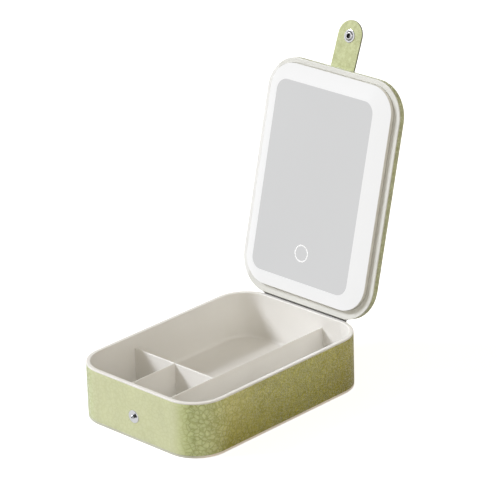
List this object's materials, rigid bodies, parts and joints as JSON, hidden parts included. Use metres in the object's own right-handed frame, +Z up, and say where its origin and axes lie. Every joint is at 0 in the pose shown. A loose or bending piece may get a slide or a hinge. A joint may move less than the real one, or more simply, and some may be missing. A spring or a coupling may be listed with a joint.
{
  "type": "vanity box with mirror",
  "caption": "Portable open vanity box with leather-covered walls, a divided inner tray and a hinged lid that carries a lighted mirror, closed by a strap with a snap.",
  "frame": {"origin": "centre of the box's bottom, on the surface that it stands on", "axes": "+Z up; the box's length runs along Y, the hinge at +Y and the snap at -Y; the width runs along X; the lid is stored open"},
  "size_m": [0.159, 0.2963, 0.3087],
  "materials": {
    "pad_rubber": "matte, fine grain",
    "ivory_plastic": "satin, warm off-white",
    "tray_plastic": "satin, warm off-white",
    "green_leather": "pale sage green, reptile embossed, soft sheen",
    "lining_leather": "smooth, pale green",
    "foam": "thin closed-cell foam",
    "chrome": "polished",
    "screw_steel": "plain",
    "hinge_metal": "dark bronze",
    "panel_plastic": "satin, light grey",
    "bezel_plastic": "satin, warm off-white",
    "frosted_plastic": "frosted, lit from behind",
    "mirror": "silvered glass",
    "ring_frost": "frosted line in the glass",
    "black_tape": "foam tape",
    "copper": "bare",
    "circuit_board": "solder mask",
    "white_board": "white solder mask",
    "chip_black": "moulded",
    "chip_yellow": "phosphor",
    "battery_foil": "laminated pouch",
    "lead_red": "insulated",
    "lead_white": "insulated"
  },
  "bodies": {
    "box": {"bottom_pad": "pad_rubber", "bottom_plate": "ivory_plastic", "bottom_screws": "screw_steel", "base_frame": "ivory_plastic", "base_leather": "green_leather", "inner_tray": "tray_plastic", "snap_stud": "chrome", "stud_rivet": "screw_steel", "hinge_base_leaf": "hinge_metal", "hinge_pin": "screw_steel", "hinge_screws": "hinge_metal"},
    "lid": {"lid_shell": "ivory_plastic", "lid_padding": "foam", "lid_leather": "green_leather", "lid_bezel": "bezel_plastic", "light_housing": "panel_plastic", "diffuser": "frosted_plastic", "mirror_glass": "mirror", "mirror_tape": "black_tape", "touch_ring": "ring_frost", "touch_electrode": "copper", "touch_contact": "black_tape", "light_strips": "white_board", "light_chips": "chip_yellow", "control_board": "circuit_board", "board_chips": "chip_black", "charge_socket": "chrome", "battery": "battery_foil", "battery_tape": "lead_white", "battery_leads": "lead_red", "strip_leads": "lead_white", "panel_screws": "screw_steel", "hinge_lid_leaf": "hinge_metal", "hinge_rivets": "screw_steel"},
    "strap": {"strap_outer": "green_leather", "strap_lining": "lining_leather", "snap_socket": "chrome", "snap_cap": "chrome"}
  },
  "joints": [
    {"name": "lid_hinge", "type": "hinge", "parent": "box", "child": "lid", "pos_m": [0, 0.1092, 0.0554], "axis": [1, 0, 0], "range_deg": [0, 104]},
    {"name": "strap_bend", "type": "hinge", "parent": "lid", "child": "strap", "pos_m": [0, 0.16097, 0.26675], "axis": [1, 0, 0], "range_deg": [0, 97]}
  ]
}
